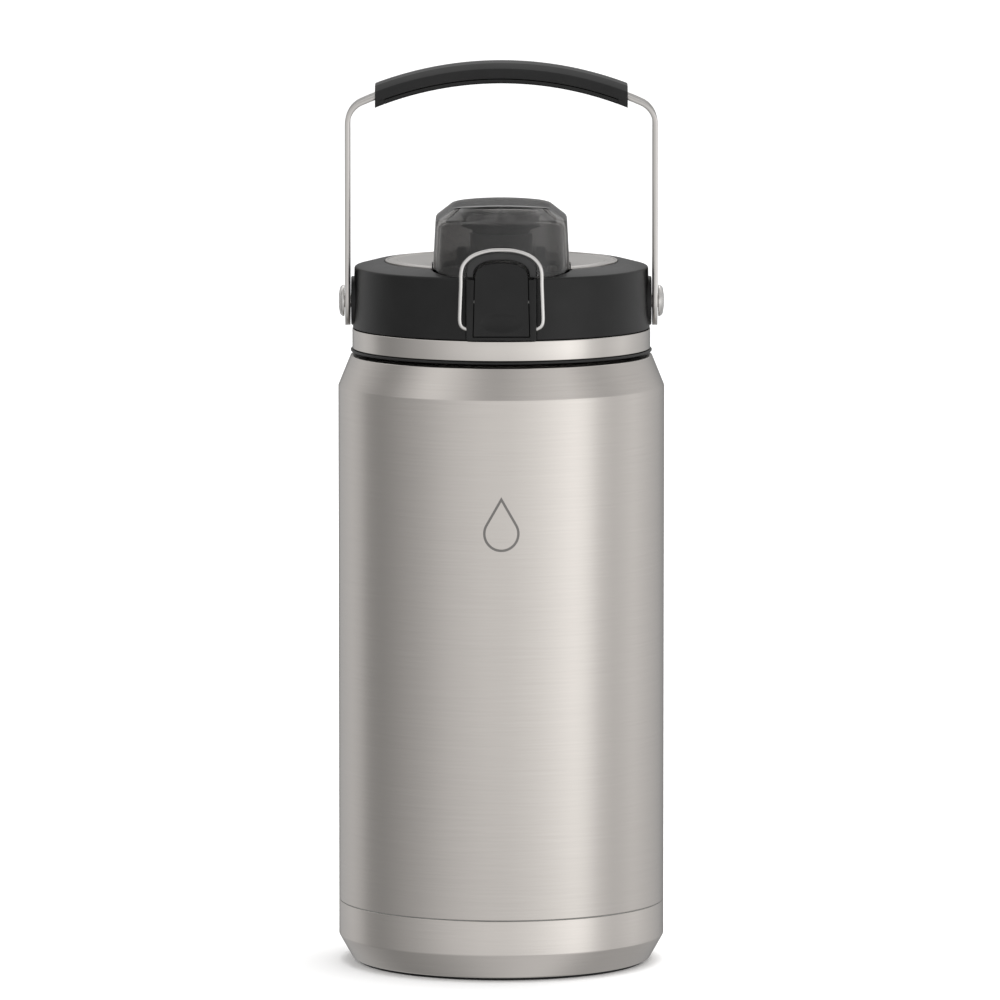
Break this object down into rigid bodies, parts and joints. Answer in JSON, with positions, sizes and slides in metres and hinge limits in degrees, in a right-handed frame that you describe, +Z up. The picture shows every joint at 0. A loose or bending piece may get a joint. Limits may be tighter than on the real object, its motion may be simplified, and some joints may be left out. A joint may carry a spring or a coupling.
{
  "type": "vacuum insulated water jug",
  "caption": "Tall double-walled steel water jug with a screw-on black lid, a flip-up smoke cap over the spout, a push latch with a lock wire, and a swinging strap handle.",
  "frame": {"origin": "centre of the circle that the jug stands on", "axes": "+Z up along the vessel's axis, -Y towards the front latch, +X to the right as seen from the front"},
  "size_m": [0.12, 0.12, 0.3329],
  "materials": {
    "brushed_shell": "fine circumferential brushing, satin",
    "plain_steel": "bead-blasted to satin",
    "bright_steel": "drawn wire, bright",
    "inner_steel": "electropolished",
    "copper_foil": "bright foil",
    "black_plastic": "fine moulded texture",
    "black_insert": "moulded",
    "soft_grip": "soft-touch, matt",
    "black_silicone": "matt",
    "clear_silicone": "translucent, matt",
    "smoke_plastic": "glossy translucent smoke grey",
    "nylon": "plain",
    "getter_alloy": "sintered, dull"
  },
  "bodies": {
    "vessel": {"outer_shell": "brushed_shell", "outer_base": "brushed_shell", "inner_liner": "inner_steel", "radiation_foil": "copper_foil", "foot_ring": "black_silicone", "getter": "getter_alloy", "vacuum_seal": "getter_alloy"},
    "lid_carrier": {"lid_gasket": "clear_silicone"},
    "lid": {"lid_shell": "black_plastic", "lid_insert": "black_insert", "lid_band": "plain_steel", "top_disc": "plain_steel", "spout": "black_insert", "vent_valve": "clear_silicone", "rivet_left": "plain_steel", "rivet_right": "plain_steel", "bushing_left": "nylon", "bushing_right": "nylon", "cap_hinge_pin": "bright_steel", "cap_hinge_spring": "bright_steel", "latch_housing": "black_plastic", "button_pin": "bright_steel", "button_spring": "bright_steel"},
    "cap": {"cap_shell": "smoke_plastic", "cap_frame": "black_plastic", "spout_seal": "black_silicone"},
    "button": {"release_button": "black_plastic"},
    "wire": {"lock_wire": "bright_steel"},
    "handle": {"handle_strap": "plain_steel", "grip_upper": "soft_grip", "grip_lower": "black_plastic"}
  },
  "joints": [
    {"name": "lid_lift", "type": "slide", "parent": "vessel", "child": "lid_carrier", "axis": [0, 0, 1], "range_m": [0, 0.017]},
    {"name": "lid_turn", "type": "hinge", "parent": "lid_carrier", "child": "lid", "pos_m": [0, 0, 0.2351], "axis": [0, 0, 1], "range_deg": [0, 720]},
    {"name": "cap_flip", "type": "hinge", "parent": "lid", "child": "cap", "pos_m": [0, 0, 0.262], "axis": [-1, 0, 0], "range_deg": [0, 100]},
    {"name": "button_press", "type": "hinge", "parent": "lid", "child": "button", "pos_m": [0, -0.0542, 0.249], "axis": [1, 0, 0], "range_deg": [0, 4.5], "stiffness_Nm_per_rad": 0.2},
    {"name": "lock_wire_swing", "type": "hinge", "parent": "lid", "child": "wire", "pos_m": [0, -0.0566, 0.2392], "axis": [1, 0, 0], "range_deg": [0, 160]},
    {"name": "handle_swing", "type": "hinge", "parent": "lid", "child": "handle", "pos_m": [0, 0, 0.2446], "axis": [1, 0, 0], "range_deg": [-105, 105]}
  ],
  "couplings": [
    {"joint": "lid_lift", "follows": "lid_turn", "m_per_rad": 0.0012732}
  ]
}
